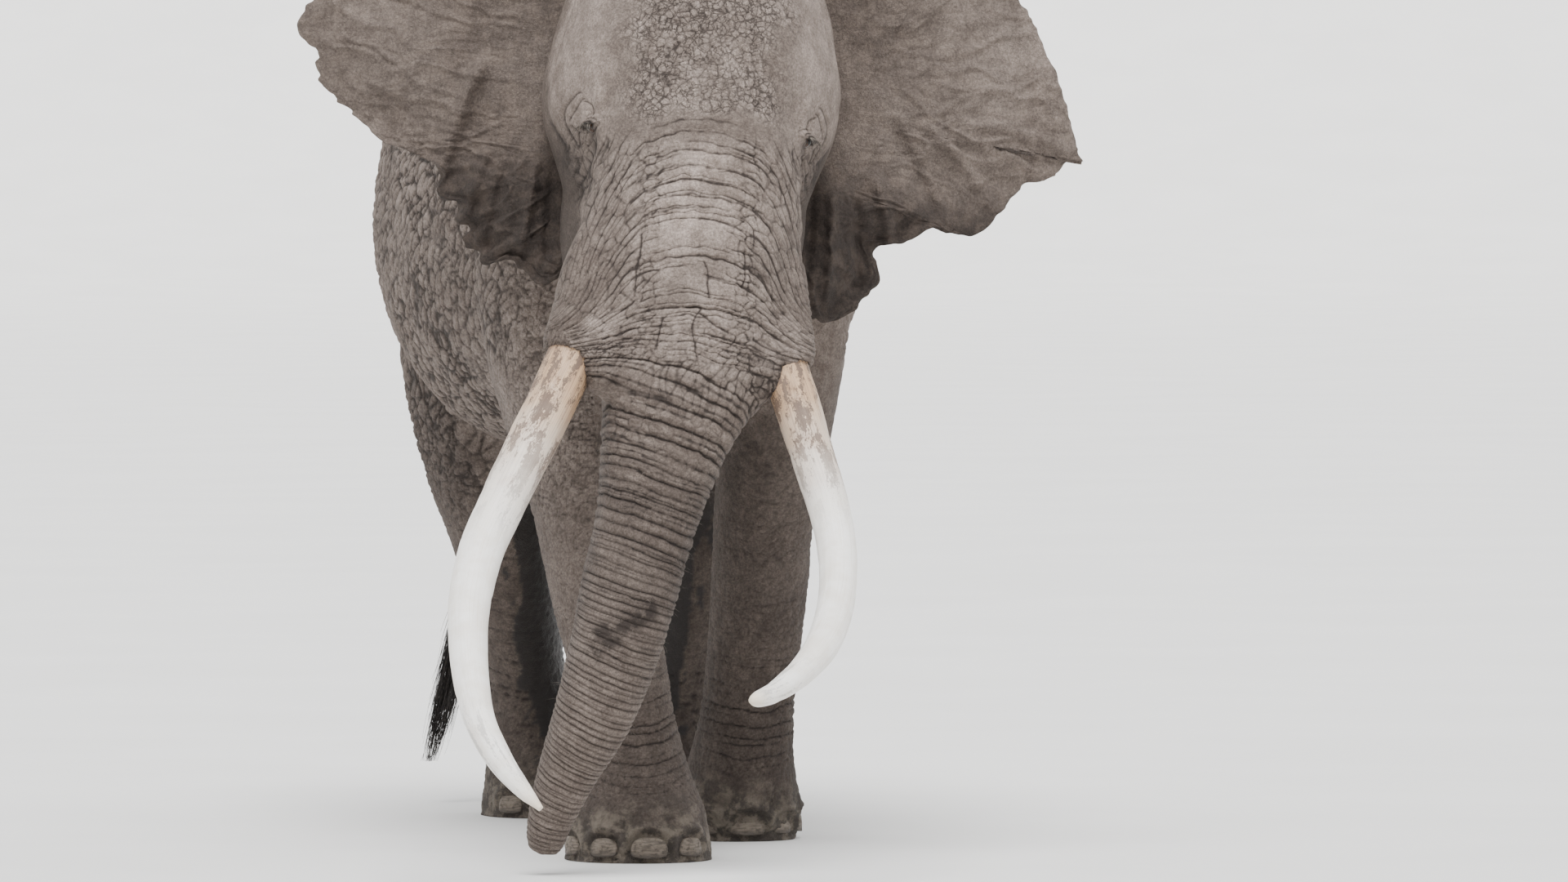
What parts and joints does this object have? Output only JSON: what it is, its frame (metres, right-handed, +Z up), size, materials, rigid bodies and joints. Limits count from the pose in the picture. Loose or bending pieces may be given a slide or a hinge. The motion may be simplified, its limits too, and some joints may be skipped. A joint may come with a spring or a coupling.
{
  "type": "african savanna elephant",
  "caption": "Life-size still model of an African savanna elephant bull with very long tusks, walking with head low, ears spread and trunk hanging to the ground.",
  "frame": {"origin": "on the floor, under the middle of the whole model's box", "axes": "+Z up; the bull faces -Y; his left side is at +X"},
  "size_m": [2.5746, 5.1562, 3.1876],
  "materials": {
    "skin": "dry, dusty, wrinkled grey-brown hide",
    "ivory": "worn white ivory, stained yellow-brown at the lip",
    "eye": "wet, dark brown",
    "hair": "coarse black bristle",
    "nail": "dull worn horn"
  },
  "bodies": {
    "root": {"head": "skin", "lower_jaw": "skin", "neck": "skin", "shoulders": "skin", "barrel": "skin", "hindquarters": "skin", "trunk_base": "skin", "trunk_middle": "skin", "trunk_tip": "skin", "ear_right": "skin", "ear_left": "skin", "tail": "skin", "foreleg_right_upper": "skin", "foreleg_right_lower": "skin", "foreleg_left_upper": "skin", "foreleg_left_lower": "skin", "hind_leg_right_upper": "skin", "hind_leg_right_lower": "skin", "hind_leg_left_upper": "skin", "hind_leg_left_lower": "skin", "foot_fore_right": "skin", "foot_fore_left": "skin", "foot_hind_right": "skin", "foot_hind_left": "skin", "tusk_right": "ivory", "tusk_left": "ivory", "eye_right": "eye", "eye_left": "eye", "tail_tuft": "hair"}
  },
  "joints": []
}
